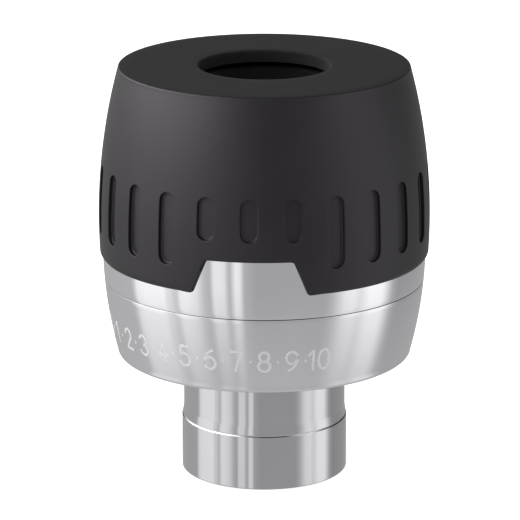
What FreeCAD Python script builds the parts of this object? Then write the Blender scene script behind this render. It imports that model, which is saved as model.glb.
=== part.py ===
"""Telescope eyepiece with a 31.7 mm push-in barrel and a twist-up eyecup.

Millimetres. The origin is the centre of the barrel's open end, +Z is the optical axis towards the eye,
and -Y is the side that carries the front cut-out of the grip. Every piece is a separate solid in its
own node. The base is the barrel, skirt, core and optics. The eyecup (sleeve, band, rubber and guide
screws) climbs 10 mm on three spiral grooves while it turns through 100 degrees.
"""
import FreeCAD, Part
import os
from math import cos, pi, radians, sin, sqrt, tan

# ---- driving dimensions -----------------------------------------------------------------------------
# heights along the axis
LAND_TOP = 10.4          # full-diameter land of the barrel, with a fine groove above it
NECK_BOTTOM = 11.8       # the barrel's cone ends here and its neck begins
SKIRT_BOTTOM = 23.2      # shoulder that seats on the focuser
BARREL_TOP = 27.2
SKIRT_FLOOR = 29.2
WASHER_BOTTOM = 37.4
SKIRT_TOP = 38.0
BAND_BOTTOM = 38.2
GRIP_BOTTOM = 42.65
TAB_TOP = 49.2
LAP_TOP = 50.2           # thin edge of the band under the rubber
SLEEVE_CONE_BOTTOM = 64.0
SLEEVE_CONE_TOP = 70.0
LIP_BOTTOM = 76.8        # lower edge of the rubber lip round the eye hole
SKIN_BOTTOM = 77.9       # underside of the rubber's top skin
EYECUP_TOP = 79.1

# radii
BARREL_R = 15.85
NECK_R = 15.5
SPIGOT_R = 20.5          # bore of the skirt round the lens cell's foot
CORE_R = 27.5
CORE_BORE_R = 25.5
SLEEVE_BORE_R = 27.65
SLEEVE_R = 29.2
SLEEVE_TIP_R = 26.3
LAP_R = 29.9
WASHER_SEAT_R = 29.1
MOUTH_R = 12.3           # hole in the rubber's top
LIP_OUTER_R = 13.9

# barrel-shaped outlines: greatest radius, height where it is reached, radius of the arc
STEEL_BULGE = (30.778, 44.75, 81.8)
GRIP_BULGE = (31.46, 49.5, 111.7)

# finger slots and cut-outs of the grip
FRONT_ANGLE = -95.1      # direction of the front cut-out's middle, from +X towards +Y
SLOT_COUNT = 24
SLOT_HALF_WIDTH = 1.65
SLOT_DEPTH = 0.8
SLOT_TOP = 60.9
LONG_SLOT_BOTTOM = 47.4
SHORT_SLOT_BOTTOM = 52.9
CUTOUT_COUNT = 3
CUTOUT_TOP_HALF_WIDTH = 8.2
CUTOUT_BOTTOM_HALF_WIDTH = 10.8
CUTOUT_CORNER_R = 1.0
CUTOUT_TIP_R = 0.8
TAB_GAP = 0.05           # between a tab and the rubber beside it

# lifting motion
LIFT = 10.0
TWIST = 100.0            # degrees of turn for the whole lift
PIN_HEIGHT = 52.0        # guide pins at the bottom of their travel
PIN_R = 1.25
PIN_TIP_R = 26.2         # distance of a pin's tip from the axis
GROOVE_WIDTH = 2.7
GROOVE_FLOOR_R = 26.0
GUIDE_SCREW_R = 1.6

# optics
THREAD_R = 14.25         # filter thread relief, M28.5
THREAD_DEPTH = 4.0
LENS_GAP = 0.05          # between a lens's edge and its seat
FIELD_SEAT_R = 13.9
FIELD_SEAT_TOP = 17.0
FIELD_THROAT_R = 12.4
CELL_R = 21.5
CELL_TIP_R = 19.0
CELL_BORE_R = 18.5
CELL_SHOULDER = 60.0     # seat of the upper middle lens
EYE_SEAT = 66.0
EYE_SEAT_R = 15.9
EYE_THREAD_R = 17.0
CELL_TOP = 75.3
STOP_BOTTOM = 30.6       # field stop ring
STOP_TOP = 32.0

# small edges
EDGE = 0.15
CHAMFER = 0.3
OVERCUT = 0.1            # how far a cutter reaches past the face it opens


# ---- helpers ----------------------------------------------------------------------------------------
def point(r, z):
    """A point of a half section, at radius r and height z."""
    return FreeCAD.Vector(r, 0, z)


def bulge_radius(bulge, z):
    """Radius of a barrel-shaped outline at height z."""
    greatest, height, arc_radius = bulge
    return greatest - arc_radius + sqrt(arc_radius**2 - (z - height) ** 2)


def bulge_arc(bulge, z_from, z_to):
    """Outline entry: an arc along a barrel-shaped outline, ending at z_to."""
    z_mid = (z_from + z_to) / 2
    return ("arc", (bulge_radius(bulge, z_mid), z_mid), (bulge_radius(bulge, z_to), z_to))


def corner_arc(centre, radius, degrees_mid, degrees_end):
    """Outline entry: an arc round a centre, given by the directions of its middle and its end."""
    spots = [
        (centre[0] + radius * cos(radians(a)), centre[1] + radius * sin(radians(a)))
        for a in (degrees_mid, degrees_end)
    ]
    return ("arc", spots[0], spots[1])


def turned(outline):
    """Solid of revolution from a closed half section of (r, z) corners and arc entries."""
    edges = []
    here = outline[0]
    for entry in outline[1:] + [outline[0]]:
        if entry[0] == "arc":
            middle, end = entry[1], entry[2]
            edges.append(Part.Arc(point(*here), point(*middle), point(*end)).toShape())
            here = end
        else:
            if abs(here[0] - entry[0]) + abs(here[1] - entry[1]) > 1e-6:
                edges.append(Part.LineSegment(point(*here), point(*entry)).toShape())
            here = entry
    face = Part.Face(Part.Wire(edges))
    return face.revolve(FreeCAD.Vector(0, 0, 0), FreeCAD.Vector(0, 0, 1), 360)


def ring(r_in, r_out, z_low, z_high, edge=0.0):
    """A plain ring, with its four edges chamfered by edge."""
    if edge == 0:
        return turned([(r_in, z_low), (r_out, z_low), (r_out, z_high), (r_in, z_high)])
    return turned([
        (r_in + edge, z_low), (r_out - edge, z_low), (r_out, z_low + edge), (r_out, z_high - edge),
        (r_out - edge, z_high), (r_in + edge, z_high), (r_in, z_high - edge), (r_in, z_low + edge),
    ])


def sphere_height(lens_r, edge, middle, r):
    """Height at radius r of a spherical lens surface, from its heights at the edge and on the axis."""
    sag = middle - edge
    sphere = (lens_r**2 + sag**2) / (2 * abs(sag))
    drop = sphere - sqrt(sphere**2 - r**2)
    return middle - drop if sag > 0 else middle + drop


def lens(r, bottom_edge, bottom_middle, top_edge, top_middle):
    """A round lens from the heights of its two surfaces at the edge and on the axis."""
    half = r / 2
    return turned([
        (0, bottom_middle),
        ("arc", (half, sphere_height(r, bottom_edge, bottom_middle, half)), (r, bottom_edge)),
        (r, top_edge),
        ("arc", (half, sphere_height(r, top_edge, top_middle, half)), (0, top_middle)),
    ])


def around(shape, angle):
    """A copy of a shape turned about the optical axis."""
    copy = shape.copy()
    copy.rotate(FreeCAD.Vector(0, 0, 0), FreeCAD.Vector(0, 0, 1), angle)
    return copy


def repeat(shape, count, first_angle):
    """Copies of a shape that lies along +X, evenly spaced about the axis."""
    return [around(shape, first_angle + 360 * k / count) for k in range(count)]


def radial_cylinder(radius, r_from, r_to, z):
    """A cylinder along +X at height z."""
    return Part.makeCylinder(radius, r_to - r_from, FreeCAD.Vector(r_from, 0, z), FreeCAD.Vector(1, 0, 0))


def rounded_prism(corners, x_from, x_to):
    """A prism along +X from (y, z, rounding) corners."""
    edges = []
    count = len(corners)
    ends = []
    for k, (y, z, rounding) in enumerate(corners):
        spot = FreeCAD.Vector(x_from, y, z)
        before = FreeCAD.Vector(x_from, *corners[k - 1][:2]) - spot
        after = FreeCAD.Vector(x_from, *corners[(k + 1) % count][:2]) - spot
        if rounding == 0:
            ends.append((spot, spot, spot))
            continue
        half_angle = before.getAngle(after) / 2
        reach = rounding / tan(half_angle)
        inward = before.normalize() + after.normalize()
        to_middle = rounding / sin(half_angle) - rounding
        middle = spot + inward.normalize() * to_middle
        ends.append((spot + before * reach, middle, spot + after * reach))
    for k in range(count):
        start, middle, end = ends[k]
        if (end - start).Length > 1e-6:
            edges.append(Part.Arc(start, middle, end).toShape())
        following = ends[(k + 1) % count][0]
        if (following - end).Length > 1e-6:
            edges.append(Part.LineSegment(end, following).toShape())
    return Part.Face(Part.Wire(edges)).extrude(FreeCAD.Vector(x_to - x_from, 0, 0))


def cutout_prism(gap):
    """The trapezoid of one cut-out, along +X, shrunk by gap on its slanted sides and top."""
    bottom = CUTOUT_BOTTOM_HALF_WIDTH - gap
    top = CUTOUT_TOP_HALF_WIDTH - gap
    flare = 3.0
    return rounded_prism(
        [
            (-top, TAB_TOP - gap, CUTOUT_CORNER_R), (top, TAB_TOP - gap, CUTOUT_CORNER_R),
            (bottom, GRIP_BOTTOM, CUTOUT_TIP_R), (bottom + flare, GRIP_BOTTOM, 0),
            (bottom + flare, GRIP_BOTTOM - flare, 0), (-bottom - flare, GRIP_BOTTOM - flare, 0),
            (-bottom - flare, GRIP_BOTTOM, 0), (-bottom, GRIP_BOTTOM, CUTOUT_TIP_R),
        ],
        20, 40,
    )


def save(name, shape):
    """Check a piece and write it to its STEP file."""
    shape = shape.removeSplitter()
    if not shape.isValid() or not shape.Solids:
        raise RuntimeError(name + " is not a valid solid")
    print(f"{name}: {len(shape.Solids)} solid(s), {shape.Volume:.0f} mm3")
    if len(shape.Solids) == 1:
        shape = shape.Solids[0]
    shape.exportStep(os.path.join("parts", name + ".step"))


# ---- fixed body -------------------------------------------------------------------------------------
def nosepiece_barrel():
    groove_floor_r, groove_floor_z = BARREL_R - 0.3, LAND_TOP + 0.15
    groove_edge_r, groove_edge_z = BARREL_R - 0.1, LAND_TOP + 0.4
    return turned([
        (THREAD_R + CHAMFER, 0), (BARREL_R - CHAMFER, 0), (BARREL_R, CHAMFER), (BARREL_R, LAND_TOP),
        (groove_floor_r, groove_floor_z), (groove_edge_r, groove_edge_z),
        (NECK_R, NECK_BOTTOM), (NECK_R, BARREL_TOP), (FIELD_THROAT_R, BARREL_TOP),
        (FIELD_THROAT_R, FIELD_SEAT_TOP), (FIELD_SEAT_R, FIELD_SEAT_TOP), (FIELD_SEAT_R, THREAD_DEPTH),
        (THREAD_R, THREAD_DEPTH), (THREAD_R, CHAMFER),
    ])


def lower_skirt():
    round_r = 0.85
    wall_bore = CORE_R + 0.05
    side_start = SKIRT_BOTTOM + round_r
    side_start_r = bulge_radius(STEEL_BULGE, side_start)
    round_centre = (side_start_r - round_r, side_start)
    return turned([
        (NECK_R, SKIRT_BOTTOM), (round_centre[0], SKIRT_BOTTOM),
        corner_arc(round_centre, round_r, -45, 0),
        bulge_arc(STEEL_BULGE, side_start, SKIRT_TOP - EDGE),
        (bulge_radius(STEEL_BULGE, SKIRT_TOP) - EDGE, SKIRT_TOP),
        (WASHER_SEAT_R, SKIRT_TOP), (WASHER_SEAT_R, WASHER_BOTTOM), (wall_bore, WASHER_BOTTOM),
        (wall_bore, SKIRT_FLOOR), (SPIGOT_R, SKIRT_FLOOR), (SPIGOT_R, BARREL_TOP), (NECK_R, BARREL_TOP),
    ])


def slip_washer():
    bore_gap, seat_gap, washer_edge = 0.2, 0.1, 0.1
    return ring(CORE_R + bore_gap, WASHER_SEAT_R - seat_gap, WASHER_BOTTOM, BAND_BOTTOM, washer_edge)


CORE_SCREW_COUNT = 4
CORE_SCREW_PCD_R = 23.45
CORE_SCREW_R = 1.0
CORE_FOOT_TOP = 31.7
CORE_SCREW_DEPTH = 3.0


def core_screw_shank():
    return Part.makeCylinder(
        CORE_SCREW_R, CORE_FOOT_TOP - SKIRT_FLOOR + CORE_SCREW_DEPTH,
        FreeCAD.Vector(CORE_SCREW_PCD_R, 0, SKIRT_FLOOR - CORE_SCREW_DEPTH),
    )


def core_screws():
    head_r, head_height, socket_across, socket_depth = 1.75, 1.3, 1.5, 0.8
    spot = FreeCAD.Vector(CORE_SCREW_PCD_R, 0, CORE_FOOT_TOP)
    head = Part.makeCylinder(head_r, head_height, spot)
    corner_r = socket_across / sqrt(3)
    corners = [
        spot + FreeCAD.Vector(corner_r * cos(k * pi / 3), corner_r * sin(k * pi / 3), head_height)
        for k in range(7)
    ]
    socket = Part.Face(Part.makePolygon(corners)).extrude(FreeCAD.Vector(0, 0, -socket_depth))
    screw = head.cut(socket).fuse(core_screw_shank())
    return Part.Compound(repeat(screw.removeSplitter(), CORE_SCREW_COUNT, 45))


def guide_angle():
    """Direction of the first guide pin: half way between two cut-outs."""
    return FRONT_ANGLE + 60


def spiral_groove():
    """One groove's cutter: it starts at the +X axis, climbs LIFT in TWIST degrees, and runs on a little."""
    outside_r = CORE_R + 0.6
    slope = LIFT / (radians(TWIST) * CORE_R)
    half = GROOVE_WIDTH / 2 * sqrt(1 + slope**2)
    run_on = 3.0             # degrees past the pin's middle at each end
    start_z = PIN_HEIGHT - LIFT * run_on / TWIST
    climb = LIFT * (1 + 2 * run_on / TWIST)
    path = Part.makeHelix(LIFT * 360 / TWIST, climb, CORE_R)
    path.translate(FreeCAD.Vector(0, 0, start_z))
    profile = Part.makePolygon([
        point(GROOVE_FLOOR_R, start_z - half), point(outside_r, start_z - half),
        point(outside_r, start_z + half), point(GROOVE_FLOOR_R, start_z + half),
        point(GROOVE_FLOOR_R, start_z - half),
    ])
    return around(Part.Wire(path).makePipeShell([profile], True, True), -run_on)


def helix_core():
    core_top = 64.4
    foot_bore = CELL_R + 0.1
    core = turned([
        (foot_bore, SKIRT_FLOOR), (CORE_R, SKIRT_FLOOR), (CORE_R, core_top - CHAMFER),
        (CORE_R - CHAMFER, core_top), (CORE_BORE_R, core_top), (CORE_BORE_R, CORE_FOOT_TOP),
        (foot_bore, CORE_FOOT_TOP),
    ])
    for groove in repeat(spiral_groove(), CUTOUT_COUNT, guide_angle()):
        core = core.cut(groove)
    for shank in repeat(core_screw_shank(), CORE_SCREW_COUNT, 45):
        core = core.cut(shank)
    return core


# ---- optics -----------------------------------------------------------------------------------------
def spanner_notches(r_from, r_to, z_from, z_to):
    """Two notches across a ring, at its left and right, for a pin spanner."""
    width = 1.4
    notch = Part.makeBox(r_to - r_from, width, z_to - z_from, FreeCAD.Vector(r_from, -width / 2, z_from))
    return repeat(notch, 2, 0)


def notched(shape, notches):
    for notch in notches:
        shape = shape.cut(notch)
    return shape


def lens_cell():
    foot_r = SPIGOT_R - 0.05
    cone_bottom, cone_top = 66, 68
    eye_thread_bottom = 72.9
    throat_r = 14.5          # clear bore between the middle lenses and the eye lens
    return turned([
        (CELL_BORE_R, BARREL_TOP), (foot_r, BARREL_TOP), (foot_r, SKIRT_FLOOR), (CELL_R, SKIRT_FLOOR),
        (CELL_R, cone_bottom), (CELL_TIP_R, cone_top), (CELL_TIP_R, CELL_TOP), (EYE_THREAD_R, CELL_TOP),
        (EYE_THREAD_R, eye_thread_bottom), (EYE_SEAT_R, eye_thread_bottom), (EYE_SEAT_R, EYE_SEAT),
        (throat_r, EYE_SEAT), (throat_r, CELL_SHOULDER), (CELL_BORE_R, CELL_SHOULDER),
    ])


def eye_lens_retaining_ring():
    inner, low, top, bevel = 13.3, 73.0, 75.6, 0.5
    notch_from_r, notch_to_r, notch_depth = 14.6, 16.2, 0.9
    body = turned([
        (inner, low), (EYE_THREAD_R, low), (EYE_THREAD_R, top - EDGE), (EYE_THREAD_R - EDGE, top),
        (inner + bevel, top), (inner, top - bevel),
    ])
    return notched(body, spanner_notches(notch_from_r, notch_to_r, top - notch_depth, top + OVERCUT))


def top_cover_ring():
    outer, low, top = 24.4, 73.0, 75.0
    return ring(CELL_TIP_R, outer, low, top, EDGE)


def field_lens_retaining_ring():
    inner, low, top, bevel = 12.2, 9.8, 12.0, 0.6
    notch_from_r, notch_to_r, notch_depth = 12.9, 13.5, 0.8
    body = turned([
        (inner + bevel, low), (FIELD_SEAT_R, low), (FIELD_SEAT_R, top), (inner, top), (inner, low + bevel),
    ])
    return notched(body, spanner_notches(notch_from_r, notch_to_r, low - OVERCUT, low + notch_depth))


def cell_retaining_ring():
    low, bore = 27.6, 14.0
    notch_from_r, notch_to_r, notch_depth = 15.5, 17.3, 1.0
    notches = spanner_notches(notch_from_r, notch_to_r, low - OVERCUT, low + notch_depth)
    return notched(ring(bore, CELL_BORE_R, low, STOP_BOTTOM), notches)


def field_stop_ring():
    stop_r, knife, dish_r = 12.0, 0.2, 14.0
    return turned([
        (stop_r, STOP_BOTTOM), (CELL_BORE_R, STOP_BOTTOM), (CELL_BORE_R, STOP_TOP), (dish_r, STOP_TOP),
        (stop_r, STOP_BOTTOM + knife),
    ])


LENSES = {
    # name: radius, bottom edge, bottom middle, top edge, top middle
    "field_lens_flint": (FIELD_SEAT_R - LENS_GAP, 12.0, 13.0, 15.5, 14.2),
    "field_lens_crown": (FIELD_SEAT_R - LENS_GAP, 15.5, 14.2, 17.0, 16.3),
    "lower_middle_lens": (CELL_BORE_R - LENS_GAP, 46.0, 45.0, 49.5, 52.5),
    "upper_middle_lens": (CELL_BORE_R - LENS_GAP, 56.5, 54.0, 59.2, 61.2),
    "eye_lens_flint": (EYE_SEAT_R - LENS_GAP, 66.0, 66.8, 71.0, 68.5),
    "eye_lens_crown": (EYE_SEAT_R - LENS_GAP, 71.0, 68.5, 72.5, 73.8),
}
SPACER_BORE_R = 17.3     # the spacers touch the convex lenses along this edge


def spacer_contacts():
    """Heights at which the spacers' bores touch the two middle lenses, from the lowest up."""
    lower_r, lower_edge, lower_middle, upper_edge, upper_middle = LENSES["lower_middle_lens"]
    next_r, next_edge, next_middle = LENSES["upper_middle_lens"][:3]
    return (
        sphere_height(lower_r, lower_edge, lower_middle, SPACER_BORE_R),
        sphere_height(lower_r, upper_edge, upper_middle, SPACER_BORE_R),
        sphere_height(next_r, next_edge, next_middle, SPACER_BORE_R),
    )


# ---- twist-up eyecup --------------------------------------------------------------------------------
DRAG_RING_HEIGHT = 41.6
SLEEVE_BOTTOM = BAND_BOTTOM + 0.05


def eyecup_sleeve():
    groove_half, groove_r = 0.6, 28.6
    groove_low, groove_high = DRAG_RING_HEIGHT - groove_half, DRAG_RING_HEIGHT + groove_half
    flange_bore, flange_bottom = 13.9, 76.6
    tip_bore, bore_cone_bottom, bore_cone_top = 24.8, 65.0, 70.5
    body = turned([
        (SLEEVE_BORE_R + EDGE, SLEEVE_BOTTOM), (SLEEVE_R, SLEEVE_BOTTOM), (SLEEVE_R, SLEEVE_CONE_BOTTOM),
        (SLEEVE_TIP_R, SLEEVE_CONE_TOP), (SLEEVE_TIP_R, SKIN_BOTTOM), (flange_bore, SKIN_BOTTOM),
        (flange_bore, flange_bottom), (tip_bore, flange_bottom), (tip_bore, bore_cone_top),
        (SLEEVE_BORE_R, bore_cone_bottom), (SLEEVE_BORE_R, groove_high), (groove_r, groove_high),
        (groove_r, groove_low), (SLEEVE_BORE_R, groove_low), (SLEEVE_BORE_R, SLEEVE_BOTTOM + EDGE),
    ])
    hole = radial_cylinder(GUIDE_SCREW_R, CORE_R - 1, SLEEVE_R + 1, PIN_HEIGHT)
    return notched(body, repeat(hole, CUTOUT_COUNT, guide_angle()))


def drag_ring():
    middle_r, section_r = 28.05, 0.45
    return Part.makeTorus(middle_r, section_r, FreeCAD.Vector(0, 0, DRAG_RING_HEIGHT))


def guide_screws():
    thread_start, head = 27.75, 29.1
    pin = radial_cylinder(PIN_R, PIN_TIP_R, thread_start, PIN_HEIGHT)
    body = radial_cylinder(GUIDE_SCREW_R, thread_start, head, PIN_HEIGHT)
    slot_width, slot_depth, slot_length = 0.45, 0.5, 4.0
    slot_corner = FreeCAD.Vector(head - slot_depth, -slot_length / 2, PIN_HEIGHT - slot_width / 2)
    slot = Part.makeBox(slot_depth, slot_length, slot_width, slot_corner)
    return Part.Compound(repeat(pin.fuse(body).cut(slot).removeSplitter(), CUTOUT_COUNT, guide_angle()))


def twist_band():
    """Steel band: a visible ring, a thin edge under the rubber and three tabs in the cut-outs."""
    foot_r = bulge_radius(STEEL_BULGE, BAND_BOTTOM)
    step_r = bulge_radius(STEEL_BULGE, GRIP_BOTTOM)
    band = turned([
        (SLEEVE_R, BAND_BOTTOM), (foot_r - EDGE, BAND_BOTTOM),
        (bulge_radius(STEEL_BULGE, BAND_BOTTOM + EDGE), BAND_BOTTOM + EDGE),
        bulge_arc(STEEL_BULGE, BAND_BOTTOM + EDGE, GRIP_BOTTOM), (step_r, GRIP_BOTTOM),
        (LAP_R, GRIP_BOTTOM), (LAP_R, LAP_TOP), (SLEEVE_R, LAP_TOP),
    ])
    root_r, root_z = LAP_R - 0.3, GRIP_BOTTOM - 0.5
    tab_stock = turned([
        (root_r, root_z), (bulge_radius(STEEL_BULGE, root_z), root_z),
        bulge_arc(STEEL_BULGE, root_z, LAP_TOP), (root_r, LAP_TOP),
    ])
    for prism in repeat(cutout_prism(TAB_GAP), CUTOUT_COUNT, FRONT_ANGLE):
        band = band.fuse(tab_stock.common(prism))
    return band


def slot_floor():
    """The body that the finger slots leave: the grip's outline, one slot depth further in."""
    low, high = GRIP_BOTTOM, EYECUP_TOP
    outline = (GRIP_BULGE[0] - SLOT_DEPTH, GRIP_BULGE[1], GRIP_BULGE[2])
    return turned([(0, low), (bulge_radius(outline, low), low), bulge_arc(outline, low, high), (0, high)])


def finger_slot(bottom, floor):
    """The cutter of one finger slot, along +X."""
    half = SLOT_HALF_WIDTH
    rounding = half - 0.001
    corners = [(-half, bottom), (half, bottom), (half, SLOT_TOP), (-half, SLOT_TOP)]
    prism = rounded_prism([(y, z, rounding) for y, z in corners], SLEEVE_R, GRIP_BULGE[0] + 1)
    return prism.cut(floor)


def rubber_grip():
    foot_round, rim_round, lip_round = 1.0, 0.35, 0.5
    foot_z = GRIP_BOTTOM + foot_round
    foot_r = bulge_radius(GRIP_BULGE, foot_z) - foot_round
    rim_z = EYECUP_TOP - rim_round
    rim_r = bulge_radius(GRIP_BULGE, rim_z) - rim_round
    lip_r = MOUTH_R + lip_round
    grip = turned([
        (LAP_R, GRIP_BOTTOM), (foot_r, GRIP_BOTTOM), corner_arc((foot_r, foot_z), foot_round, -45, 0),
        bulge_arc(GRIP_BULGE, foot_z, rim_z), corner_arc((rim_r, rim_z), rim_round, 45, 90),
        (lip_r, EYECUP_TOP), corner_arc((lip_r, EYECUP_TOP - lip_round), lip_round, 135, 180),
        (MOUTH_R, LIP_BOTTOM), (LIP_OUTER_R, LIP_BOTTOM), (LIP_OUTER_R, SKIN_BOTTOM),
        (SLEEVE_TIP_R, SKIN_BOTTOM), (SLEEVE_TIP_R, SLEEVE_CONE_TOP), (SLEEVE_R, SLEEVE_CONE_BOTTOM),
        (SLEEVE_R, LAP_TOP), (LAP_R, LAP_TOP),
    ])
    floor = slot_floor()
    slots_per_cutout = SLOT_COUNT // CUTOUT_COUNT
    for k in range(SLOT_COUNT):
        above_cutout = k % slots_per_cutout in (0, 1, slots_per_cutout - 1)
        bottom = SHORT_SLOT_BOTTOM if above_cutout else LONG_SLOT_BOTTOM
        grip = grip.cut(around(finger_slot(bottom, floor), FRONT_ANGLE + k * 360 / SLOT_COUNT))
    return notched(grip, repeat(cutout_prism(0), CUTOUT_COUNT, FRONT_ANGLE))


# ---- write every piece ------------------------------------------------------------------------------
def main():
    os.makedirs("parts", exist_ok=True)
    skirt = lower_skirt()
    for shank in repeat(core_screw_shank(), CORE_SCREW_COUNT, 45):
        skirt = skirt.cut(shank)
    save("lower_skirt", skirt)
    for maker in (
        nosepiece_barrel, slip_washer, core_screws, helix_core, lens_cell, eye_lens_retaining_ring,
        top_cover_ring, field_lens_retaining_ring, cell_retaining_ring, field_stop_ring,
        eyecup_sleeve, drag_ring, guide_screws, twist_band, rubber_grip,
    ):
        save(maker.__name__, maker())
    for name, heights in LENSES.items():
        save(name, lens(*heights))
    contacts = spacer_contacts()
    save("lower_spacer_ring", ring(SPACER_BORE_R, CELL_BORE_R, STOP_TOP, contacts[0]))
    save("middle_spacer_ring", ring(SPACER_BORE_R, CELL_BORE_R, contacts[1], contacts[2]))


main()
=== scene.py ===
"""Looks of the telescope eyepiece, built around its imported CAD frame.

Lengths are in millimetres until a mesh is made. The optical axis is Z, the barrel's open end is z = 0
and the front cut-out of the grip faces -Y. Turned pieces are lathed from half sections of (r, z)
corners. The rubber grip is laid out unrolled: s runs round it, z up it and depth into it.
"""
from math import atan2, cos, degrees, pi, radians, sin, sqrt, tan

import bmesh
import bpy
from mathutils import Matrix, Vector


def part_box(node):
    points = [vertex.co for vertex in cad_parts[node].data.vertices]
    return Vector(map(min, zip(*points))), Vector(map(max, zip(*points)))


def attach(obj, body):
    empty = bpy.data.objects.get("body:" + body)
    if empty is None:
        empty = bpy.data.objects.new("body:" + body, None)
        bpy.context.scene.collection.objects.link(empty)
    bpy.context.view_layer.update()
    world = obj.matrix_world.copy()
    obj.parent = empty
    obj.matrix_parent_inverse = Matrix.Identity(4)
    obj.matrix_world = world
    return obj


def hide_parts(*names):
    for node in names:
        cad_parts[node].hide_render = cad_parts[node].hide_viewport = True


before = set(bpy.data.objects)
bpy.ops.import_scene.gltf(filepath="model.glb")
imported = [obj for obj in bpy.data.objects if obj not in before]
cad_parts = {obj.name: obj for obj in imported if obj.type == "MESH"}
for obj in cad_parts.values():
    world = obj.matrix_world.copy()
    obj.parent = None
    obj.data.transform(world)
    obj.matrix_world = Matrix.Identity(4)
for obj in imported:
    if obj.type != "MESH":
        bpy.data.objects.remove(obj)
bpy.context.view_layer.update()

MM = 0.001


def low_high(node):
    """Lowest and highest z of a CAD node, in mm."""
    low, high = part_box(node)
    return low.z / MM, high.z / MM


# ---- dimensions of the frame that the looks follow --------------------------------------------------
SKIRT_BOTTOM, SKIRT_TOP = low_high("lower_skirt")
BAND_BOTTOM, LAP_TOP = low_high("twist_band")
GRIP_BOTTOM, EYECUP_TOP = low_high("rubber_grip")
BARREL_TOP = low_high("nosepiece_barrel")[1]
BARREL_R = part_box("nosepiece_barrel")[1].x / MM
SLEEVE_R = 29.2
LAP_R = 29.9
MOUTH_R = 12.3
SKIN_BOTTOM = 77.9
TAB_TOP = 49.2

# barrel-shaped outlines: greatest radius, height where it is reached, radius of the arc
STEEL_BULGE = (30.778, 44.75, 81.8)
GRIP_BULGE = (31.46, 49.5, 111.7)

# finger slots of the grip
SLOT_HALF = 1.65
SLOT_DEPTH = 0.8
SLOT_TOP = 60.9
LONG_SLOT_BOTTOM = 47.4
SHORT_SLOT_BOTTOM = 52.9

SEAM_LAP = 0.04          # the skirt and the band are drawn this much nearer to each other

COLUMNS = 288            # columns round the large turned pieces
BARREL_COLUMNS = 192     # columns round the barrel and the lenses
FRONT_ANGLE = -95.1      # direction of the front cut-out's middle, from +X towards +Y


# ---- mesh helpers -----------------------------------------------------------------------------------
def bulge_radius(bulge, z):
    greatest, height, arc_radius = bulge
    return greatest - arc_radius + sqrt(arc_radius**2 - (z - height) ** 2)


def bulge_points(bulge, z_from, z_to, count):
    """Points (r, z) along a barrel-shaped outline, both ends included."""
    heights = [z_from + (z_to - z_from) * k / (count - 1) for k in range(count)]
    return [(bulge_radius(bulge, z), z) for z in heights]


def arc_points(centre, radius, degrees_from, degrees_to, steps):
    """Points of an arc in the (r, z) plane."""
    angles = [radians(degrees_from + (degrees_to - degrees_from) * k / steps) for k in range(steps + 1)]
    return [(centre[0] + radius * cos(a), centre[1] + radius * sin(a)) for a in angles]


def rounded(corners, steps=5):
    """A closed outline of (r, z) points, in which each corner given as (r, z, rounding) is an arc."""
    outline = []
    for k, corner in enumerate(corners):
        spot = Vector(corner[:2])
        if len(corner) == 2:
            outline.append(tuple(spot))
            continue
        before = (Vector(corners[k - 1][:2]) - spot).normalized()
        after = (Vector(corners[(k + 1) % len(corners)][:2]) - spot).normalized()
        half = before.angle(after) / 2
        centre = spot + (before + after).normalized() * corner[2] / sin(half)
        start = spot + before * corner[2] / tan(half) - centre
        end = spot + after * corner[2] / tan(half) - centre
        turn = atan2(start.x * end.y - start.y * end.x, start.dot(end))
        first = atan2(start.y, start.x)
        for i in range(steps + 1):
            a = first + turn * i / steps
            outline.append((centre.x + corner[2] * cos(a), centre.y + corner[2] * sin(a)))
    return outline


def strips(loops, closed_across=False):
    """Vertices and quads that join equally long closed loops of points, one after the other."""
    size = len(loops[0])
    vertices = [point for loop in loops for point in loop]
    faces = []
    for j in range(len(loops) if closed_across else len(loops) - 1):
        here, there = j * size, ((j + 1) % len(loops)) * size
        for i in range(size):
            following = (i + 1) % size
            faces.append((here + i, here + following, there + following, there + i))
    return vertices, faces


def lathe(outline, columns=COLUMNS, closed=True):
    """Vertices and faces of an outline turned about the axis. It may be a function of the angle."""
    section = outline if callable(outline) else lambda angle: outline
    angles = [radians(FRONT_ANGLE) + 2 * pi * k / columns for k in range(columns)]
    sections = [[(r * cos(a), r * sin(a), z) for r, z in section(a)] for a in angles]
    if closed:
        return strips(sections, closed_across=True)
    loops = [[s[j] for s in sections] for j in range(len(sections[0]))]
    return strips(loops)


def make_piece(name, parts, material, body, replaces=(), sharp=40, bridge=False):
    """One piece from (vertices, faces) parts, in mm. bridge joins the open edges that are left."""
    bm = bmesh.new()
    for vertices, faces in parts:
        made = [bm.verts.new(Vector(v) * MM) for v in vertices]
        for face in faces:
            bm.faces.new([made[i] for i in face])
    bmesh.ops.remove_doubles(bm, verts=bm.verts, dist=1e-6)
    if bridge:
        bmesh.ops.bridge_loops(bm, edges=[e for e in bm.edges if e.is_boundary])
    bmesh.ops.recalc_face_normals(bm, faces=bm.faces)
    mesh = bpy.data.meshes.new(name)
    bm.to_mesh(mesh)
    bm.free()
    for polygon in mesh.polygons:
        polygon.use_smooth = True
    mesh.set_sharp_from_angle(angle=radians(sharp))
    mesh.materials.append(material)
    piece = bpy.data.objects.new(name, mesh)
    bpy.context.scene.collection.objects.link(piece)
    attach(piece, body)
    if replaces:
        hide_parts(*replaces)
    return piece


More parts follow.
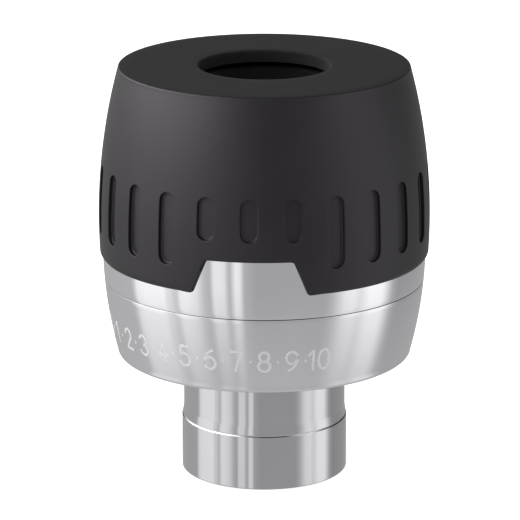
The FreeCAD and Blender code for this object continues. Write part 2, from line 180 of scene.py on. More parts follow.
# ---- materials --------------------------------------------------------------------------------------
class Nodes:
    """A small helper that adds and links nodes in one tree."""

    def __init__(self, tree):
        self.tree = tree

    def add(self, kind, **settings):
        node = self.tree.nodes.new("ShaderNode" + kind)
        for key, value in settings.items():
            setattr(node, key, value)
        return node

    def link(self, output, target):
        self.tree.links.new(output, target)

    def feed(self, value, target):
        """A number, a colour or another node's output goes into a socket."""
        if isinstance(value, bpy.types.NodeSocket):
            self.link(value, target)
        else:
            target.default_value = value

    def math(self, operation, *values):
        """The result of one arithmetic node."""
        node = self.add("Math", operation=operation)
        for value, target in zip(values, node.inputs):
            self.feed(value, target)
        return node.outputs[0]

    def ease(self, value, zero, one, step="SMOOTHSTEP"):
        """A step from 0 where value is zero to 1 where it is one, smooth unless step is LINEAR."""
        node = self.add("MapRange", interpolation_type=step)
        node.inputs["From Min"].default_value = zero
        node.inputs["From Max"].default_value = one
        self.link(value, node.inputs["Value"])
        return node.outputs["Result"]

    def blend(self, share, first, second):
        """The first colour, of which share gives way to the second one."""
        node = self.add("Mix", data_type="RGBA")
        self.link(share, node.inputs["Factor"])
        self.feed(first, node.inputs[6])
        self.feed(second, node.inputs[7])
        return node.outputs[2]


class Surface(Nodes):
    """The nodes of one material."""

    def __init__(self, name):
        self.material = bpy.data.materials.new(name)
        self.material.use_nodes = True
        super().__init__(self.material.node_tree)
        self.shader = self.tree.nodes["Principled BSDF"]

    def set(self, **values):
        """Constant values on the shader's own sockets, with _ for a space."""
        for key, value in values.items():
            self.shader.inputs[key.replace("_", " ")].default_value = value

    def noise(self, scale, stretch=(1, 1, 1), detail=3.0):
        """Noise in the object's own coordinates; a large stretch along an axis makes it finer there."""
        place = self.add("TexCoord").outputs["Object"]
        mapping = self.add("Mapping")
        mapping.inputs["Scale"].default_value = stretch
        self.link(place, mapping.inputs["Vector"])
        node = self.add("TexNoise")
        node.inputs["Scale"].default_value = scale
        node.inputs["Detail"].default_value = detail
        self.link(mapping.outputs["Vector"], node.inputs["Vector"])
        return node.outputs["Fac"]

    def spread(self, value, low, high):
        """value mapped from noise's usual range to low..high."""
        node = self.add("MapRange")
        node.inputs["From Min"].default_value = 0.3
        node.inputs["From Max"].default_value = 0.7
        node.inputs["To Min"].default_value = low
        node.inputs["To Max"].default_value = high
        self.link(value, node.inputs["Value"])
        return node.outputs["Result"]

    def colour_between(self, value, dark, light, share=None, other=None):
        """Base colour from dark to light by value; share of it can give way to another colour."""
        ramp = self.add("ValToRGB")
        ramp.color_ramp.elements[0].position = 0.3
        ramp.color_ramp.elements[0].color = (*dark, 1)
        ramp.color_ramp.elements[1].position = 0.7
        ramp.color_ramp.elements[1].color = (*light, 1)
        self.link(value, ramp.inputs["Fac"])
        colour = ramp.outputs["Color"]
        if share is not None:
            colour = self.blend(share, colour, (*other, 1))
        self.link(colour, self.shader.inputs["Base Color"])

    def bump(self, value, height):
        """Bumps of a height in mm."""
        node = self.add("Bump")
        node.inputs["Distance"].default_value = height * MM
        self.link(value, node.inputs["Height"])
        self.link(node.outputs["Normal"], self.shader.inputs["Normal"])


def turned_steel(name, tone, smooth, rough):
    """Stainless steel with fine turning lines round the axis; smooth and rough bound its roughness."""
    n = Surface(name)
    lines = n.noise(1 / (0.35 * MM), stretch=(0.004, 0.004, 1), detail=4.0)
    smears = n.noise(60)
    dark, light = tone - 0.015, tone + 0.015
    n.colour_between(smears, (dark, dark * 0.995, dark * 1.03), (light, light * 0.995, light * 1.03))
    n.link(n.spread(lines, smooth, rough), n.shader.inputs["Roughness"])
    n.bump(lines, 0.0015)
    n.set(Metallic=1.0)
    return n.material


def etched_steel():
    """Laser-frosted marks in the steel."""
    n = Surface("etched_steel")
    grain = n.noise(1 / (0.08 * MM))
    n.colour_between(grain, (0.76, 0.76, 0.77), (0.84, 0.84, 0.85))
    n.link(n.spread(grain, 0.55, 0.7), n.shader.inputs["Roughness"])
    n.bump(grain, 0.004)
    n.set(Metallic=0.72)
    return n.material


def recesses(n):
    """Mask of painted shade: 1 on the walls of the grip's finger slots and inside its eye hole, 0 on its
    open surface.
    """
    slots_middle = (SLOT_TOP + LONG_SLOT_BOTTOM) / 2 * MM
    slots_reach = ((SLOT_TOP - LONG_SLOT_BOTTOM) / 2 + 0.5) * MM
    wall_top, wall_foot, floor_edge = 0.12 * MM, (SLOT_DEPTH - 0.2) * MM, (SLOT_DEPTH - 0.02) * MM
    hole_wall, hole_edge = (MOUTH_R + 0.1) * MM, (MOUTH_R + 0.6) * MM
    peak, peak_z, arc_r = (size * MM for size in GRIP_BULGE)
    place = n.add("TexCoord").outputs["Object"]
    height = n.add("SeparateXYZ")
    n.link(place, height.inputs[0])
    flat = n.add("VectorMath", operation="MULTIPLY")
    flat.inputs[1].default_value = (1, 1, 0)
    n.link(place, flat.inputs[0])
    radius = n.add("VectorMath", operation="LENGTH")
    n.link(flat.outputs[0], radius.inputs[0])
    radius = radius.outputs["Value"]
    above = n.math("SUBTRACT", height.outputs["Z"], peak_z)
    drop = n.math("DIVIDE", n.math("MULTIPLY", above, above), 2 * arc_r)
    depth = n.math("SUBTRACT", peak, n.math("ADD", drop, radius))
    below_surface = n.ease(depth, wall_top / 4, wall_top)
    above_floor = n.ease(depth, floor_edge, wall_foot)
    among_slots = n.math("COMPARE", height.outputs["Z"], slots_middle, slots_reach)
    wall = n.math("MULTIPLY", n.math("MULTIPLY", below_surface, above_floor), among_slots)
    return n.math("MAXIMUM", wall, n.ease(radius, hole_edge, hole_wall))


def soft_rubber():
    """Soft-touch black rubber: a fine moulded grain and a slightly worn sheen; painted shade turns its slot
    walls and eye hole near-black, and they are rougher.
    """
    n = Surface("soft_rubber")
    grain = n.noise(1 / (0.16 * MM), detail=2.0)
    patches = n.noise(90)
    recess_shade = recesses(n)
    # painted shade: the base colour gives way to near-black on the slot walls and in the eye hole
    n.colour_between(
        patches, (0.0082, 0.0074, 0.0084), (0.0108, 0.0098, 0.0110), recess_shade, (0.0025, 0.0025, 0.0025)
    )
    dull = n.math("MULTIPLY", recess_shade, 0.95)
    n.link(n.math("MAXIMUM", n.spread(patches, 0.44, 0.50), dull), n.shader.inputs["Roughness"])
    n.bump(grain, 0.012)
    n.shader.inputs["Specular Tint"].default_value = (1.0, 0.93, 1.0, 1)
    return n.material


def black_anodised():
    """Black anodised aluminium with a satin surface and fine turning lines."""
    n = Surface("black_anodised")
    lines = n.noise(1 / (0.3 * MM), stretch=(0.004, 0.004, 1))
    n.colour_between(n.noise(120), (0.012, 0.012, 0.014), (0.02, 0.02, 0.023))
    n.link(n.spread(lines, 0.36, 0.48), n.shader.inputs["Roughness"])
    n.bump(lines, 0.006)
    return n.material


def optical_black():
    """Matte blackening of the surfaces that face the light path."""
    n = Surface("optical_black")
    grain = n.noise(1 / (0.1 * MM))
    n.colour_between(grain, (0.006, 0.006, 0.006), (0.012, 0.012, 0.012))
    n.link(n.spread(grain, 0.7, 0.85), n.shader.inputs["Roughness"])
    n.bump(grain, 0.01)
    n.set(Specular_IOR_Level=0.15)
    return n.material


def black_nylon():
    n = Surface("black_nylon")
    grain = n.noise(1 / (0.2 * MM))
    n.colour_between(grain, (0.012, 0.012, 0.012), (0.02, 0.02, 0.02))
    n.link(n.spread(grain, 0.45, 0.6), n.shader.inputs["Roughness"])
    n.bump(grain, 0.008)
    return n.material


def screw_steel():
    n = Surface("screw_steel")
    marks = n.noise(1 / (0.2 * MM))
    n.colour_between(marks, (0.38, 0.38, 0.37), (0.5, 0.5, 0.48))
    n.link(n.spread(marks, 0.28, 0.4), n.shader.inputs["Roughness"])
    n.bump(marks, 0.004)
    n.set(Metallic=1.0)
    return n.material


def coated_glass():
    """Lens glass; its coatings leave a faint green reflection."""
    n = Surface("coated_glass")
    n.colour_between(n.noise(40), (0.965, 0.985, 0.97), (0.98, 0.995, 0.985))
    n.set(Roughness=0.0, IOR=1.52, Transmission_Weight=1.0, Specular_IOR_Level=0.15)
    n.shader.inputs["Specular Tint"].default_value = (0.55, 1.0, 0.65, 1)
    return n.material


BARREL_STEEL = turned_steel("polished_steel", 0.64, 0.02, 0.04)
SKIRT_STEEL = turned_steel("satin_steel", 0.84, 0.09, 0.14)
BAND_STEEL = turned_steel("turned_band_steel", 0.86, 0.04, 0.07)
ETCHED = etched_steel()
RUBBER = soft_rubber()
ANODISED = black_anodised()
BLACKING = optical_black()
NYLON = black_nylon()
SCREWS = screw_steel()
GLASS = coated_glass()


# ---- steel body -------------------------------------------------------------------------------------
def barrel():
    thread_r, thread_depth, seat_r, seat_top, throat_r = 14.25, 4.0, 13.9, 17.0, 12.4
    neck_r, land_top, neck_bottom = 15.5, 10.4, 12.4
    groove_bottom, groove_top = land_top + 0.05, land_top + 0.35
    groove_r, cone_r = BARREL_R - 0.2, BARREL_R - 0.12
    chamfer = 0.3
    outline = rounded([
        (thread_r + chamfer, 0, 0.1), (BARREL_R, 0, 0.2), (BARREL_R, 0.35), (BARREL_R, land_top - 0.12),
        (BARREL_R, land_top, 0.02), (groove_r, groove_bottom), (cone_r, groove_top, 0.04),
        (neck_r, neck_bottom, 0.2), (neck_r, neck_bottom + 0.3), (neck_r, BARREL_TOP),
        (throat_r, BARREL_TOP), (throat_r, seat_top), (seat_r, seat_top), (seat_r, thread_depth),
        (thread_r, thread_depth), (thread_r, chamfer + 0.1),
    ])
    shell = [lathe(outline, BARREL_COLUMNS)]
    make_piece("barrel_shell", shell, BARREL_STEEL, "base", ["nosepiece_barrel"])
    thickness, bottom, top = 0.03, 4.3, 9.7
    lining_r = seat_r - thickness
    lining = [(lining_r, bottom), (lining_r, top), (seat_r, top), (seat_r, bottom)]
    blacking = [lathe(lining, BARREL_COLUMNS)]
    make_piece("barrel_blacking", blacking, BLACKING, "base")
    make_piece("filter_thread", [filter_thread(thread_r)], BARREL_STEEL, "base", sharp=20)


def filter_thread(root_r):
    """The 0.6 mm pitch thread in the barrel's mouth, as one ridge that tapers out at both ends."""
    pitch, height, start_z, turns, per_turn = 0.6, 0.32, 0.75, 5, 96
    half = pitch * 0.46      # leaves a narrow flat between the turns
    foot_r = root_r + 0.02
    fade = per_turn // 4
    loops = []
    steps = turns * per_turn
    for k in range(steps + 1):
        a = 2 * pi * k / per_turn
        z = start_z + pitch * k / per_turn
        share = min(1.0, (k + 1) / fade, (steps - k + 1) / fade)
        section = [(foot_r, z - half * share), (root_r - height * share, z), (foot_r, z + half * share)]
        loops.append([(r * cos(a), r * sin(a), level) for r, level in section])
    vertices, faces = strips(loops)
    last = len(vertices) - 3
    return vertices, faces + [(0, 1, 2), (last, last + 2, last + 1)]


def skirt():
    wall_bore, washer_seat_r, washer_seat_z, spigot_r, floor_z, neck_r = 27.55, 29.1, 37.4, 20.5, 29.2, 15.5
    foot_round, seam_edge = 0.85, 0.04
    side_start = SKIRT_BOTTOM + foot_round
    top = SKIRT_TOP + SEAM_LAP
    side = bulge_points(STEEL_BULGE, side_start, top - seam_edge, 18)
    outline = [(neck_r, SKIRT_BOTTOM)]
    outline += arc_points((side[0][0] - foot_round, side_start), foot_round, -90, 0, 8)[:-1] + side
    outline += arc_points((side[-1][0] - seam_edge, top - seam_edge), seam_edge, 0, 90, 4)[1:]
    outline += [
        (washer_seat_r, top), (washer_seat_r, washer_seat_z), (wall_bore, washer_seat_z),
        (wall_bore, floor_z), (spigot_r, floor_z), (spigot_r, BARREL_TOP), (neck_r, BARREL_TOP),
    ]
    make_piece("skirt_shell", [lathe(outline)], SKIRT_STEEL, "base", ["lower_skirt"])


# ---- grip layout ------------------------------------------------------------------------------------
GRIP_R = 31.4            # radius at which the unrolled layout is true to size
PITCH = 15               # degrees between slots
CELL = radians(PITCH) * GRIP_R
CELL_COLUMNS = COLUMNS * PITCH // 360
THIRD = 8 * CELL         # a third of a turn: three cells over a cut-out and five beside it
CUTOUT_TOP = radians(15.1) * GRIP_R
CUTOUT_BOTTOM = radians(20.1) * GRIP_R
CUTOUT_CORNER_R = 1.0
CUTOUT_TIP_R = 0.8
BLOCK_HALF = 1.5 * CELL  # a cut-out block spans three slots
LOW_LEVEL, MID_LEVEL, HIGH_LEVEL = 46.0, 51.0, 62.5
LOW_ROWS, HIGH_ROWS = 8, 14
BACK_LEVEL = 62.0        # where the grip's inner side is joined up


def levels(low, high, rows):
    return [low + (high - low) * k / rows for k in range(rows + 1)]


def on_grip(s, z, depth):
    """A point of the grip: s round from the front cut-out, at height z, depth under its surface."""
    radius = bulge_radius(GRIP_BULGE, z) - depth
    angle = radians(FRONT_ANGLE) + s / GRIP_R
    return (radius * cos(angle), radius * sin(angle), z)


def from_third(s):
    """Distance round the grip from s to the nearest of the three middles, a third of a turn apart."""
    return abs((s + THIRD / 2) % THIRD - THIRD / 2)


def at_radius(s, z, radius):
    return on_grip(s, z, bulge_radius(GRIP_BULGE, z) - radius)


def edge_profile(edge_r, steps=5):
    """(outward offset, depth) of a rounded edge, from the surface to the top of the wall."""
    turns = [pi / 2 * k / steps for k in range(steps + 1)]
    return [(edge_r * (1 - sin(a)), edge_r * (1 - cos(a))) for a in turns]


def slot_cell(middle, rows, slot_bottom):
    """One cell of the grip with a finger slot: loops that run from the cell's rim into the slot."""
    across = levels(middle - CELL / 2, middle + CELL / 2, CELL_COLUMNS)
    rim = [(s, rows[0]) for s in across[:-1]] + [(across[-1], z) for z in rows[:-1]]
    rim += [(s, rows[-1]) for s in across[:0:-1]] + [(across[0], z) for z in rows[:0:-1]]
    spine_low, spine_high = slot_bottom + SLOT_HALF, SLOT_TOP - SLOT_HALF
    edge_r, floor_r = 0.1, 0.25
    wall = edge_profile(edge_r)
    floor = [(-o, SLOT_DEPTH - d) for o, d in edge_profile(floor_r)[::-1]]
    inside = [(-(SLOT_HALF + floor_r) / 2, SLOT_DEPTH), (-SLOT_HALF, SLOT_DEPTH)]
    loops = []
    for share in (1.0, 0.6, 0.3, 0.12):
        loops.append([])
        for s, z in rim:
            start = Vector((middle, min(max(z, spine_low), spine_high)))
            reach = Vector((s, z)) - start
            near = start + reach.normalized() * (SLOT_HALF + edge_r)
            spot = near.lerp(Vector((s, z)), share)
            loops[-1].append(on_grip(spot.x, spot.y, 0))
    for offset, depth in wall + floor + inside:
        loops.append([])
        for s, z in rim:
            start = Vector((middle, min(max(z, spine_low), spine_high)))
            spot = start + (Vector((s, z)) - start).normalized() * (SLOT_HALF + offset)
            loops[-1].append(on_grip(spot.x, spot.y, depth))
    return strips(loops)


def hem_and_rim():
    """The grip's lower edge round one third, and the row of cell corners above it, point for point."""
    corner = radians(90) - atan2(TAB_TOP - GRIP_BOTTOM, CUTOUT_BOTTOM - CUTOUT_TOP)
    tip_reach = CUTOUT_TIP_R * tan((pi / 2 - corner) / 2)
    top_reach = CUTOUT_CORNER_R * tan((pi / 2 - corner) / 2)
    slope = Vector((CUTOUT_BOTTOM - CUTOUT_TOP, TAB_TOP - GRIP_BOTTOM)).normalized()
    tip_start = -CUTOUT_BOTTOM - tip_reach
    slope_start = Vector((-CUTOUT_BOTTOM, GRIP_BOTTOM)) + slope * tip_reach
    slope_end = Vector((-CUTOUT_TOP, TAB_TOP)) - slope * top_reach
    tilt = degrees(atan2(slope.y, slope.x))
    half = [(-BLOCK_HALF, GRIP_BOTTOM), ((tip_start - BLOCK_HALF) / 2, GRIP_BOTTOM)]
    half += arc_points((tip_start, GRIP_BOTTOM + CUTOUT_TIP_R), CUTOUT_TIP_R, -90, tilt - 90, 5)
    half += [tuple(slope_start.lerp(slope_end, k / 5)) for k in range(1, 5)]
    half += arc_points(
        (-CUTOUT_TOP + top_reach, TAB_TOP - CUTOUT_CORNER_R), CUTOUT_CORNER_R, tilt + 90, 90, 5
    )
    flat_start = -CUTOUT_TOP + top_reach
    half += [(flat_start * (1 - k / 9), TAB_TOP) for k in range(1, 10)]
    hem = half + [(-s, z) for s, z in half[-2::-1]]
    side = [(-BLOCK_HALF, z) for z in levels(LOW_LEVEL, MID_LEVEL, LOW_ROWS)]
    top = [(s, MID_LEVEL) for s in levels(-BLOCK_HALF, BLOCK_HALF, 3 * CELL_COLUMNS)[1:-1]]
    rim = side + top + [(-s, z) for s, z in side[::-1]]
    straight = levels(BLOCK_HALF, BLOCK_HALF + 5 * CELL, 5 * CELL_COLUMNS)[1:-1]
    hem += [(s, GRIP_BOTTOM) for s in straight]
    rim += [(s, LOW_LEVEL) for s in straight]
    return hem, rim


def hem_strips():
    """The band of the grip between its lower edge and the cells, with the edge rounded and backed."""
    cutout_edge, hem_edge = 0.32, 0.92
    hem, rim = [], []
    third_hem, third_rim = hem_and_rim()
    for third in range(3):
        shift = third * THIRD
        hem += [Vector((s + shift, z)) for s, z in third_hem]
        rim += [Vector((s + shift, z)) for s, z in third_rim]
    count = len(hem)
    full_turn = Vector((3 * THIRD, 0))
    points = []
    for k, spot in enumerate(hem):
        before = hem[k - 1] - (full_turn if k == 0 else Vector((0, 0)))
        after = hem[(k + 1) % count] + (full_turn if k == count - 1 else Vector((0, 0)))
        along = (after - before).normalized()
        into = Vector((-along.y, along.x))
        tip_distance = min(from_third(spot.x - CUTOUT_BOTTOM * side) for side in (-1, 1))
        in_cutout = spot.y > GRIP_BOTTOM + 0.05
        share = 0 if in_cutout else min(1, max(0, (tip_distance - 0.6) / 4))
        edge_r = cutout_edge + (hem_edge - cutout_edge) * share * share * (3 - 2 * share)
        points.append((spot, into, edge_r))
    loops = []
    for share in (1.0, 0.66, 0.33):
        loops.append([])
        for (spot, into, edge_r), corner in zip(points, rim):
            place = (spot + into * edge_r).lerp(corner, share)
            loops[-1].append(on_grip(place.x, place.y, 0))
    steps = 5
    for k in range(steps + 1):
        loops.append([])
        for spot, into, edge_r in points:
            offset, depth = edge_profile(edge_r, steps)[k]
            place = spot + into * offset
            loops[-1].append(on_grip(place.x, place.y, depth))
    loops.append([at_radius(spot.x, spot.y, LAP_R + 0.05) for spot, into, edge_r in points])
    loops.append([at_radius(spot.x, MID_LEVEL, LAP_R + 0.05) for spot, into, edge_r in points])
    loops.append([at_radius(spot.x, MID_LEVEL + 0.5, SLEEVE_R + 0.02) for spot, into, edge_r in points])
    loops.append([at_radius(spot.x, BACK_LEVEL, SLEEVE_R + 0.02) for spot, into, edge_r in points])
    return strips(loops)


def grip():
    rim_r, lip_r, lip_bottom, lip_outer = 0.35, 0.5, 76.8, 13.9
    inner_r, tip_r, cone_bottom, cone_top = SLEEVE_R + 0.02, 26.35, 64, 70
    parts = [hem_strips()]
    for third in range(3):
        for k in range(-1, 7):
            short = k <= 1
            rows = levels(MID_LEVEL, HIGH_LEVEL, HIGH_ROWS)
            if not short:
                rows = levels(LOW_LEVEL, MID_LEVEL, LOW_ROWS)[:-1] + rows
            bottom = SHORT_SLOT_BOTTOM if short else LONG_SLOT_BOTTOM
            parts.append(slot_cell(third * THIRD + k * CELL, rows, bottom))
    side = bulge_points(GRIP_BULGE, HIGH_LEVEL, EYECUP_TOP - rim_r, 24)
    upper = side + arc_points((side[-1][0] - rim_r, side[-1][1]), rim_r, 0, 90, 5)[1:]
    face = [upper[-1][0] + (MOUTH_R + lip_r - upper[-1][0]) * k / 8 for k in range(1, 8)]
    upper += [(r, EYECUP_TOP) for r in face]
    upper += arc_points((MOUTH_R + lip_r, EYECUP_TOP - lip_r), lip_r, 90, 180, 6)
    upper += [
        (MOUTH_R, lip_bottom), (lip_outer, lip_bottom), (lip_outer, SKIN_BOTTOM), (tip_r, SKIN_BOTTOM),
        (tip_r, cone_top), (inner_r, cone_bottom), (inner_r, BACK_LEVEL + 0.8),
    ]
    start = radians(FRONT_ANGLE)
    turn = [start + 2 * pi * k / COLUMNS for k in range(COLUMNS)]
    parts.append(strips([[(r * cos(a), r * sin(a), z) for a in turn] for r, z in upper]))
    make_piece("grip_cover", parts, RUBBER, "eyecup", ["rubber_grip"], bridge=True)


def band():
    """The steel band, whose top step rises into three tabs under the grip's cut-outs."""
    under = 0.35             # how far the tabs run under the rubber
    seam_edge = 0.04
    bottom = BAND_BOTTOM - SEAM_LAP

    def section(angle):
        s = (angle - radians(FRONT_ANGLE)) * GRIP_R
        slope = (CUTOUT_BOTTOM + under - from_third(s)) / (CUTOUT_BOTTOM - CUTOUT_TOP)
        top = GRIP_BOTTOM + 0.02 + (TAB_TOP + under - GRIP_BOTTOM) * min(1, max(0, slope))
        side = bulge_points(STEEL_BULGE, bottom + seam_edge, GRIP_BOTTOM, 6)
        side += bulge_points(STEEL_BULGE, GRIP_BOTTOM + 0.01, top, 6)
        foot = arc_points((side[0][0] - seam_edge, side[0][1]), seam_edge, -90, 0, 4)[:-1]
        return [(SLEEVE_R, bottom)] + foot + side + [(LAP_R, top), (LAP_R, LAP_TOP), (SLEEVE_R, LAP_TOP)]

    shell = [lathe(section)]
    make_piece("band_shell", shell, BAND_STEEL, "eyecup", ["twist_band"], sharp=50)


# ---- etched scale -----------------------------------------------------------------------------------
def oval(x, y, across, up, degrees_from, degrees_to, steps=18):
    """A stroke along an oval, in glyph units: a figure is 1 high."""
    angles = [radians(degrees_from + (degrees_to - degrees_from) * k / steps) for k in range(steps + 1)]
    return [(x + across * cos(a), y + up * sin(a)) for a in angles]


FIGURES = {
    "0": [oval(0.3, 0.5, 0.27, 0.5, 90, 450, 28)],
    "1": [[(0.12, 0.76), (0.34, 1.0), (0.34, 0.5), (0.34, 0.0)]],
    "2": [oval(0.3, 0.72, 0.26, 0.28, 170, -35) + [(0.04, 0.0), (0.58, 0.0)]],
    "3": [oval(0.28, 0.75, 0.24, 0.25, 160, -90) + oval(0.28, 0.26, 0.28, 0.26, 85, -160)],
    "4": [[(0.46, 0.0), (0.46, 1.0), (0.02, 0.3), (0.6, 0.3)]],
    "5": [[(0.54, 1.0), (0.12, 1.0), (0.08, 0.56)] + oval(0.28, 0.32, 0.29, 0.32, 125, -155)],
    "6": [oval(0.3, 0.31, 0.27, 0.31, 110, 470, 26), oval(0.62, 0.34, 0.59, 0.66, 105, 185, 10)],
    "7": [[(0.04, 1.0), (0.58, 1.0), (0.38, 0.5), (0.22, 0.0)]],
    "8": [oval(0.3, 0.76, 0.23, 0.24, -90, 270, 24), oval(0.3, 0.27, 0.28, 0.27, 90, 450, 24)],
    "9": [oval(0.3, 0.69, 0.27, 0.31, -70, 290, 26), oval(-0.02, 0.66, 0.59, 0.66, -75, 5, 10)],
}


def etched_stroke(points, theta, baseline, size, width=0.48, relief=0.012):
    """A flat line on the skirt along glyph points, starting at theta degrees right of the front."""
    longest_step, sunk = 0.3, -0.05
    loops = []
    bends = [Vector((x * size, y * size)) for x, y in points]
    spots = bends[:1]
    for start, end in zip(bends, bends[1:]):
        steps = int((end - start).length / longest_step) + 1
        spots += [start.lerp(end, k / steps) for k in range(1, steps + 1)]
    for k, spot in enumerate(spots):
        along = (spots[min(k + 1, len(spots) - 1)] - spots[max(k - 1, 0)]).normalized()
        side = Vector((-along.y, along.x)) * width / 2
        if k in (0, len(spots) - 1):
            spot = spot + along * (width / 3 if k else -width / 3)
        left, right = spot - side, spot + side
        corners = []
        for place, lift in ((left, sunk), (left, relief), (right, relief), (right, sunk)):
            z = baseline + place.y
            radius = bulge_radius(STEEL_BULGE, z) + lift
            angle = radians(theta - 90) + place.x / radius
            corners.append((radius * cos(angle), radius * sin(angle), z))
        loops.append(corners)
    vertices, faces = strips(loops)
    last = len(vertices) - 4
    return vertices, faces + [(3, 2, 1, 0), (last, last + 1, last + 2, last + 3)]


def etched_scale():
    """A plain height scale on the skirt: 0 to 10 mm of eyecup lift in 100 degrees, with half-way dots."""
    size, baseline, first, step = 3.9, 27.8, -80.0, 10.0
    middle_r = bulge_radius(STEEL_BULGE, baseline + size / 2)
    parts = []
    for number in range(11):
        text = str(number)
        for place, figure in enumerate(text):
            left = -0.3 if len(text) == 1 else (-0.62, -0.04)[place]
            theta = first + number * step + degrees(left * size / middle_r)
            for stroke in FIGURES[figure]:
                parts.append(etched_stroke(stroke, theta, baseline, size))
        if number < 10:
            dot = [(-0.01, 0.5), (0.01, 0.5)]
            parts.append(etched_stroke(dot, first + (number + 0.5) * step, baseline, size, width=0.5))
    make_piece("lift_scale", parts, ETCHED, "base", sharp=30)


# ---- optics and inner pieces ------------------------------------------------------------------------
LENS_SHRINK = 0.015      # keeps cemented surfaces from lying in each other
LENSES = {
    # name: radius, bottom edge, bottom middle, top edge, top middle
    "field_lens_flint": (13.85, 12.0, 13.0, 15.5, 14.2),
    "field_lens_crown": (13.85, 15.5, 14.2, 17.0, 16.3),
    "lower_middle_lens": (18.45, 46.0, 45.0, 49.5, 52.5),
    "upper_middle_lens": (18.45, 56.5, 54.0, 59.2, 61.2),
    "eye_lens_flint": (15.85, 66.0, 66.8, 71.0, 68.5),
    "eye_lens_crown": (15.85, 71.0, 68.5, 72.5, 73.8),
}


def sphere_points(lens_r, edge, middle, steps=24):
    """Points of a spherical surface from the axis out to its edge."""
    sag = middle - edge
    sphere = (lens_r**2 + sag**2) / (2 * abs(sag))
    sign = 1 if sag > 0 else -1
    radii = [lens_r * k / steps for k in range(steps + 1)]
    return [(r, middle - sign * (sphere - sqrt(sphere**2 - r**2))) for r in radii]


def lenses():
    for name, (lens_r, low_edge, low_middle, high_edge, high_middle) in LENSES.items():
        bottom = sphere_points(lens_r, low_edge + LENS_SHRINK, low_middle + LENS_SHRINK)
        top = sphere_points(lens_r, high_edge - LENS_SHRINK, high_middle - LENS_SHRINK)
        turned = lathe(bottom + top[::-1], BARREL_COLUMNS, closed=False)
        make_piece(name + "_glass", [turned], GLASS, "base", [name])


NODE_MATERIALS = {
    "helix_core": ANODISED, "top_cover_ring": BLACKING, "eye_lens_retaining_ring": BLACKING,
    "field_lens_retaining_ring": ANODISED, "eyecup_sleeve": ANODISED, "lens_cell": BLACKING,
    "cell_retaining_ring": BLACKING, "field_stop_ring": BLACKING, "lower_spacer_ring": BLACKING,
    "middle_spacer_ring": BLACKING, "drag_ring": RUBBER, "slip_washer": NYLON,
    "core_screws": SCREWS, "guide_screws": SCREWS,
}


def finish_cad_nodes():
    """Materials and smooth shading for the CAD pieces that stay as they are."""
    for name, material in NODE_MATERIALS.items():
        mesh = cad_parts[name].data
        mesh.materials.clear()
        mesh.materials.append(material)
        for polygon in mesh.polygons:
            polygon.use_smooth = True
            polygon.material_index = 0
        mesh.set_sharp_from_angle(angle=radians(30))


# ---- stage ------------------------------------------------------------------------------------------
# brightness that shiny surfaces see, as (azimuth right of the camera, brightness) round the horizon
LOW_PANELS = [
    (-180, 0.42), (-111, 0.50), (-108, 0.62), (-104, 0.98), (-96, 1.08), (-77, 1.10), (-74, 0.88),
    (-70, 0.84), (-68.5, 0.70), (-65, 0.70), (-63, 1.02), (-58, 1.04), (-50, 0.92), (-43, 0.58),
    (-38.5, 0.50), (-36, 0.92), (-28.5, 0.90), (-24.5, 0.47), (-20, 0.98), (-16.5, 0.88), (-14.5, 0.50),
    (-6, 0.41), (44, 0.41), (50, 0.52), (60, 0.94), (67, 1.02), (73, 0.88), (82, 1.14), (94, 1.12),
    (105, 0.46), (112, 0.34), (180, 0.42),
]
HIGH_PANELS = [
    (-180, 0.11), (-165, 0.16), (-142, 1.6), (-110, 4.6), (-75, 5.4), (-45, 3.4), (-25, 0.55), (0, 0.10),
    (30, 0.14), (50, 1.2), (70, 1.65), (88, 0.5), (112, 0.06), (180, 0.11),
]
CEILING = 0.04           # what the high panels end in
CEILING_HEIGHTS = (0.65, 0.85)
TABLE_GREY = 0.5         # what the low panels fade into below the horizon
TABLE_SHARE = 0.9
TABLE_HEIGHTS = (-0.30, -0.74)
SKY = 1.0                # brightness of the surroundings for everything that isn't shiny
PANEL_SCALE = 6.0        # the ramps hold brightness divided by this
HORIZON = (-0.02, 0.25)  # heights, as sines of elevation, between which low panels turn into high ones


def grey(brightness):
    """A panel's colour as the world's nodes hold it."""
    return (brightness / PANEL_SCALE,) * 3 + (1,)


def panel_ramp(n, place, panels):
    ramp = n.add("ValToRGB")
    stops = ramp.color_ramp.elements
    while len(stops) < len(panels):
        stops.new(0.5)
    for stop, (angle, brightness) in zip(stops, panels):
        stop.position = angle / 360 + 0.5
        stop.color = grey(brightness)
    n.link(place, ramp.inputs["Fac"])
    return ramp.outputs["Color"]


def studio_world():
    """White surroundings, which glossy surfaces see as upright light panels round the object."""
    world = bpy.data.worlds.new("studio")
    bpy.context.scene.world = world
    world.use_nodes = True
    n = Nodes(world.node_tree)
    direction = n.add("SeparateXYZ")
    n.link(n.add("TexCoord").outputs["Generated"], direction.inputs[0])
    height = direction.outputs["Z"]
    azimuth = n.math("ARCTAN2", direction.outputs["X"], n.math("MULTIPLY", direction.outputs["Y"], -1))
    place = n.ease(azimuth, -pi, pi, "LINEAR")
    table_share = n.math("MULTIPLY", n.ease(height, *TABLE_HEIGHTS, "LINEAR"), TABLE_SHARE)
    low = n.blend(table_share, panel_ramp(n, place, LOW_PANELS), grey(TABLE_GREY))
    round_about = n.blend(n.ease(height, *HORIZON), low, panel_ramp(n, place, HIGH_PANELS))
    seen = n.blend(n.ease(height, *CEILING_HEIGHTS, "LINEAR"), round_about, grey(CEILING))
    panels = n.add("Background")
    panels.inputs["Strength"].default_value = PANEL_SCALE
    n.link(seen, panels.inputs["Color"])
    plain = n.tree.nodes["Background"]
    plain.inputs["Color"].default_value = (1, 1, 1, 1)
    plain.inputs["Strength"].default_value = SKY
    mix = n.add("MixShader")
    n.link(n.add("LightPath").outputs["Is Glossy Ray"], mix.inputs["Fac"])
    n.link(plain.outputs[0], mix.inputs[1])
    n.link(panels.outputs[0], mix.inputs[2])
    n.link(mix.outputs[0], n.tree.nodes["World Output"].inputs["Surface"])


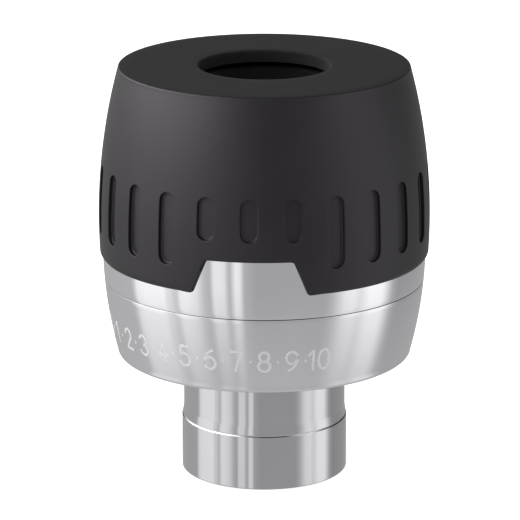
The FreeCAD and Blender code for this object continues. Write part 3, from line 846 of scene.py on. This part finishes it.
def floor():
    """A pale light table, lit a little from inside and see-through from below."""
    half, drop = 3.0, 0.05 * MM
    corners = [(-half, -half, -drop), (half, -half, -drop), (half, half, -drop), (-half, half, -drop)]
    mesh = bpy.data.meshes.new("studio_floor")
    mesh.from_pydata(corners, [], [(0, 1, 2, 3)])
    plane = bpy.data.objects.new("studio_floor", mesh)
    bpy.context.scene.collection.objects.link(plane)
    n = Surface("floor_paint")
    n.set(Roughness=0.9, Specular_IOR_Level=0.0, Emission_Strength=0.55)
    n.shader.inputs["Base Color"].default_value = (0.93, 0.93, 0.93, 1)
    n.shader.inputs["Emission Color"].default_value = (1, 1, 1, 1)
    see_through = n.add("MixShader")
    n.link(n.add("NewGeometry").outputs["Backfacing"], see_through.inputs["Fac"])
    n.link(n.shader.outputs["BSDF"], see_through.inputs[1])
    n.link(n.add("BsdfTransparent").outputs["BSDF"], see_through.inputs[2])
    n.link(see_through.outputs[0], n.tree.nodes["Material Output"].inputs["Surface"])
    mesh.materials.append(n.material)
    plane.visible_glossy = False
    plane.visible_diffuse = False


def soft_light(name, place, size, power, target=(0, 0, 0.04)):
    data = bpy.data.lights.new(name, "AREA")
    data.shape = "DISK"
    data.size = size
    data.energy = power
    lamp = bpy.data.objects.new(name, data)
    bpy.context.scene.collection.objects.link(lamp)
    lamp.location = place
    lamp.rotation_euler = (Vector(target) - Vector(place)).to_track_quat("-Z", "Y").to_euler()
    lamp.visible_camera = False
    lamp.visible_glossy = False


def camera():
    data = bpy.data.cameras.new("camera")
    data.sensor_width = 36
    data.lens = 238.3
    data.shift_x = -0.0083
    data.clip_start = 0.05
    data.clip_end = 20
    shot = bpy.data.objects.new("camera", data)
    bpy.context.scene.collection.objects.link(shot)
    shot.location = (0, -0.6316, 0.2222)
    shot.rotation_euler = (radians(90 - 16.02), 0, 0)
    bpy.context.scene.camera = shot


# ---- build it ---------------------------------------------------------------------------------------
barrel()
skirt()
band()
grip()
etched_scale()
lenses()
finish_cad_nodes()

studio_world()
floor()
soft_light("overhead", (-0.1, -0.1, 1.2), 1.2, 3)
camera()
bpy.context.scene.view_settings.view_transform = "Standard"
